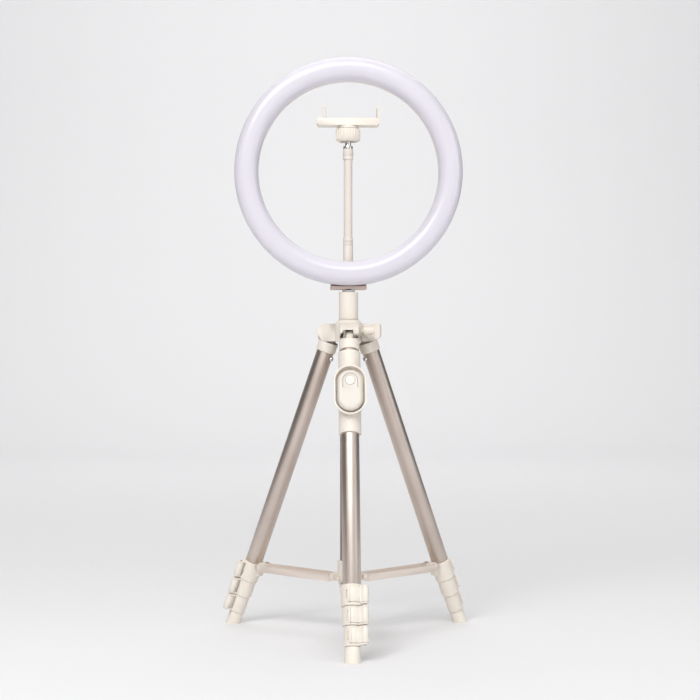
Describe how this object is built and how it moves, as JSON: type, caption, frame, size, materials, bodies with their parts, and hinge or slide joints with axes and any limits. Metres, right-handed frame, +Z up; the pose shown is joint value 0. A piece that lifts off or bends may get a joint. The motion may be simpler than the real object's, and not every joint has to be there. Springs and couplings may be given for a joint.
{
  "type": "ring light",
  "caption": "Round opal ring light on a folding three-leg stand, with a gooseneck phone clamp and a snap-in wireless remote.",
  "frame": {"origin": "on the ground, under the centre column's axis", "axes": "+Z up along the centre column; the ring faces -Y; +X to the right of a viewer in front"},
  "size_m": [0.2913, 0.2597, 0.658],
  "materials": {
    "cream_plastic": "satin moulded",
    "lever_plastic": "semi-gloss moulded",
    "cream_arm": "smooth satin sleeve",
    "button_plastic": "smooth",
    "champagne_aluminium": "satin anodised",
    "bright_steel": "bright plated",
    "dark_steel": "dark threaded",
    "opal_diffuser": "opal glossy",
    "led_board": "white solder mask",
    "soft_foot": "soft matte"
  },
  "bodies": {
    "stand": {"crown": "cream_plastic", "guide_tube": "champagne_aluminium"},
    "hub": {"brace_hub": "cream_plastic"},
    "column": {"column": "champagne_aluminium", "column_head": "cream_plastic", "mount_stud": "dark_steel"},
    "column_knob": {"column_knob": "cream_plastic"},
    "lock_disc": {"lock_disc": "bright_steel"},
    "ring_head": {"ring_bracket": "cream_plastic", "ring_back": "cream_plastic", "ring_diffuser": "opal_diffuser", "led_ring": "led_board", "gooseneck": "cream_arm", "ball_stud": "bright_steel"},
    "ball_socket": {"ball_socket": "cream_plastic"},
    "clamp_collar": {"clamp_collar": "cream_plastic"},
    "clamp": {"clamp_body": "cream_plastic"},
    "clamp_jaw": {"clamp_jaw": "cream_plastic"},
    "remote": {"remote_body": "cream_plastic"},
    "remote_button": {"remote_button": "button_plastic"},
    "brace_front": {"brace_front": "champagne_aluminium"},
    "leg_front": {"leg_cap_front": "cream_plastic", "tube_1_front": "champagne_aluminium", "lock_1_front": "cream_plastic", "remote_holder": "cream_plastic"},
    "stage_2_front": {"tube_2_front": "champagne_aluminium", "lock_2_front": "cream_plastic"},
    "stage_3_front": {"tube_3_front": "champagne_aluminium", "lock_3_front": "cream_plastic"},
    "stage_4_front": {"tube_4_front": "champagne_aluminium", "foot_front": "soft_foot"},
    "lever_1_front": {"lever_1_front": "lever_plastic"},
    "lever_2_front": {"lever_2_front": "lever_plastic"},
    "lever_3_front": {"lever_3_front": "lever_plastic"},
    "brace_right": {"brace_right": "champagne_aluminium"},
    "leg_right": {"leg_cap_right": "cream_plastic", "tube_1_right": "champagne_aluminium", "lock_1_right": "cream_plastic"},
    "stage_2_right": {"tube_2_right": "champagne_aluminium", "lock_2_right": "cream_plastic"},
    "stage_3_right": {"tube_3_right": "champagne_aluminium", "lock_3_right": "cream_plastic"},
    "stage_4_right": {"tube_4_right": "champagne_aluminium", "foot_right": "soft_foot"},
    "lever_1_right": {"lever_1_right": "lever_plastic"},
    "lever_2_right": {"lever_2_right": "lever_plastic"},
    "lever_3_right": {"lever_3_right": "lever_plastic"},
    "brace_left": {"brace_left": "champagne_aluminium"},
    "leg_left": {"leg_cap_left": "cream_plastic", "tube_1_left": "champagne_aluminium", "lock_1_left": "cream_plastic"},
    "stage_2_left": {"tube_2_left": "champagne_aluminium", "lock_2_left": "cream_plastic"},
    "stage_3_left": {"tube_3_left": "champagne_aluminium", "lock_3_left": "cream_plastic"},
    "stage_4_left": {"tube_4_left": "champagne_aluminium", "foot_left": "soft_foot"},
    "lever_1_left": {"lever_1_left": "lever_plastic"},
    "lever_2_left": {"lever_2_left": "lever_plastic"},
    "lever_3_left": {"lever_3_left": "lever_plastic"}
  },
  "joints": [
    {"name": "hub_slide", "type": "slide", "parent": "stand", "child": "hub", "axis": [0, 0, 1], "range_m": [0, 0.0863]},
    {"name": "column_slide", "type": "slide", "parent": "stand", "child": "column", "axis": [0, 0, 1], "range_m": [0, 0.2]},
    {"name": "column_knob_turn", "type": "hinge", "parent": "stand", "child": "column_knob", "pos_m": [0, 0, 0.3465], "axis": [0.866, -0.5, 0], "range_deg": [0, 270]},
    {"name": "lock_disc_turn", "type": "hinge", "parent": "column", "child": "lock_disc", "pos_m": [0, 0, 0.391], "axis": [0, 0, 1], "range_deg": [0, 270]},
    {"name": "ring_pan", "type": "hinge", "parent": "column", "child": "ring_head", "pos_m": [0, 0, 0.3941], "axis": [0, 0, 1], "range_deg": [-175, 175]},
    {"name": "clamp_tilt", "type": "hinge", "parent": "ring_head", "child": "ball_socket", "pos_m": [0, 0.018, 0.5735], "axis": [1, 0, 0], "range_deg": [-25, 25]},
    {"name": "clamp_turn", "type": "hinge", "parent": "ball_socket", "child": "clamp", "pos_m": [0, 0.018, 0.5735], "axis": [0, 0, 1], "range_deg": [-175, 175]},
    {"name": "collar_turn", "type": "hinge", "parent": "ball_socket", "child": "clamp_collar", "pos_m": [0, 0.018, 0.5735], "axis": [0, 0, 1], "range_deg": [0, 270]},
    {"name": "jaw_slide", "type": "slide", "parent": "clamp", "child": "clamp_jaw", "axis": [-1, 0, 0], "range_m": [0, 0.028], "stiffness_N_per_m": 120},
    {"name": "remote_lift", "type": "slide", "parent": "leg_front", "child": "remote", "axis": [0, -0.9313, 0.3642], "range_m": [0, 0.02]},
    {"name": "remote_press", "type": "slide", "parent": "remote", "child": "remote_button", "axis": [0, 0.9313, -0.3642], "range_m": [0, 0.0008], "stiffness_N_per_m": 900},
    {"name": "brace_front_fold", "type": "hinge", "parent": "hub", "child": "brace_front", "pos_m": [0, -0.0177, 0.0653], "axis": [1, 0, 0], "range_deg": [0, 89]},
    {"name": "leg_front_fold", "type": "hinge", "parent": "brace_front", "child": "leg_front", "pos_m": [0, -0.11489, 0.06959], "axis": [-1, 0, 0], "range_deg": [0, 71]},
    {"name": "stage_2_front_slide", "type": "slide", "parent": "leg_front", "child": "stage_2_front", "axis": [0, -0.3642, -0.9313], "range_m": [0, 0.21]},
    {"name": "lever_1_front_flip", "type": "hinge", "parent": "leg_front", "child": "lever_1_front", "pos_m": [0.01367, -0.1395, 0.0681], "axis": [0, 0.3642, 0.9313], "range_deg": [0, 100]},
    {"name": "stage_3_front_slide", "type": "slide", "parent": "stage_2_front", "child": "stage_3_front", "axis": [0, -0.3642, -0.9313], "range_m": [0, 0.21]},
    {"name": "lever_2_front_flip", "type": "hinge", "parent": "stage_2_front", "child": "lever_2_front", "pos_m": [0.01342, -0.14727, 0.04778], "axis": [0, 0.3642, 0.9313], "range_deg": [0, 100]},
    {"name": "stage_4_front_slide", "type": "slide", "parent": "stage_3_front", "child": "stage_4_front", "axis": [0, -0.3642, -0.9313], "range_m": [0, 0.21]},
    {"name": "lever_3_front_flip", "type": "hinge", "parent": "stage_3_front", "child": "lever_3_front", "pos_m": [0.013, -0.15466, 0.02813], "axis": [0, 0.3642, 0.9313], "range_deg": [0, 100]},
    {"name": "brace_right_fold", "type": "hinge", "parent": "hub", "child": "brace_right", "pos_m": [0.01533, 0.00885, 0.0653], "axis": [-0.5, 0.866, 0], "range_deg": [0, 89]},
    {"name": "leg_right_fold", "type": "hinge", "parent": "brace_right", "child": "leg_right", "pos_m": [0.0995, 0.05745, 0.06959], "axis": [0.5, -0.866, 0], "range_deg": [0, 71]},
    {"name": "stage_2_right_slide", "type": "slide", "parent": "leg_right", "child": "stage_2_right", "axis": [0.3154, 0.1821, -0.9313], "range_m": [0, 0.21]},
    {"name": "lever_1_right_flip", "type": "hinge", "parent": "leg_right", "child": "lever_1_right", "pos_m": [0.11398, 0.08159, 0.0681], "axis": [-0.3154, -0.1821, 0.9313], "range_deg": [0, 100]},
    {"name": "stage_3_right_slide", "type": "slide", "parent": "stage_2_right", "child": "stage_3_right", "axis": [0.3154, 0.1821, -0.9313], "range_m": [0, 0.21]},
    {"name": "lever_2_right_flip", "type": "hinge", "parent": "stage_2_right", "child": "lever_2_right", "pos_m": [0.12083, 0.08526, 0.04778], "axis": [-0.3154, -0.1821, 0.9313], "range_deg": [0, 100]},
    {"name": "stage_4_right_slide", "type": "slide", "parent": "stage_3_right", "child": "stage_4_right", "axis": [0.3154, 0.1821, -0.9313], "range_m": [0, 0.21]},
    {"name": "lever_3_right_flip", "type": "hinge", "parent": "stage_3_right", "child": "lever_3_right", "pos_m": [0.12744, 0.08859, 0.02813], "axis": [-0.3154, -0.1821, 0.9313], "range_deg": [0, 100]},
    {"name": "brace_left_fold", "type": "hinge", "parent": "hub", "child": "brace_left", "pos_m": [-0.01533, 0.00885, 0.0653], "axis": [-0.5, -0.866, 0], "range_deg": [0, 89]},
    {"name": "leg_left_fold", "type": "hinge", "parent": "brace_left", "child": "leg_left", "pos_m": [-0.0995, 0.05745, 0.06959], "axis": [0.5, 0.866, 0], "range_deg": [0, 71]},
    {"name": "stage_2_left_slide", "type": "slide", "parent": "leg_left", "child": "stage_2_left", "axis": [-0.3154, 0.1821, -0.9313], "range_m": [0, 0.21]},
    {"name": "lever_1_left_flip", "type": "hinge", "parent": "leg_left", "child": "lever_1_left", "pos_m": [-0.12765, 0.05791, 0.0681], "axis": [0.3154, -0.1821, 0.9313], "range_deg": [0, 100]},
    {"name": "stage_3_left_slide", "type": "slide", "parent": "stage_2_left", "child": "stage_3_left", "axis": [-0.3154, 0.1821, -0.9313], "range_m": [0, 0.21]},
    {"name": "lever_2_left_flip", "type": "hinge", "parent": "stage_2_left", "child": "lever_2_left", "pos_m": [-0.13425, 0.06201, 0.04778], "axis": [0.3154, -0.1821, 0.9313], "range_deg": [0, 100]},
    {"name": "stage_4_left_slide", "type": "slide", "parent": "stage_3_left", "child": "stage_4_left", "axis": [-0.3154, 0.1821, -0.9313], "range_m": [0, 0.21]},
    {"name": "lever_3_left_flip", "type": "hinge", "parent": "stage_3_left", "child": "lever_3_left", "pos_m": [-0.14044, 0.06607, 0.02813], "axis": [0.3154, -0.1821, 0.9313], "range_deg": [0, 100]}
  ],
  "couplings": [
    {"joint": "brace_front_fold", "follows": "hub_slide", "rad_per_m": 17.812},
    {"joint": "leg_front_fold", "follows": "hub_slide", "rad_per_m": 14.1},
    {"joint": "brace_right_fold", "follows": "hub_slide", "rad_per_m": 17.812},
    {"joint": "leg_right_fold", "follows": "hub_slide", "rad_per_m": 14.1},
    {"joint": "brace_left_fold", "follows": "hub_slide", "rad_per_m": 17.812},
    {"joint": "leg_left_fold", "follows": "hub_slide", "rad_per_m": 14.1}
  ]
}
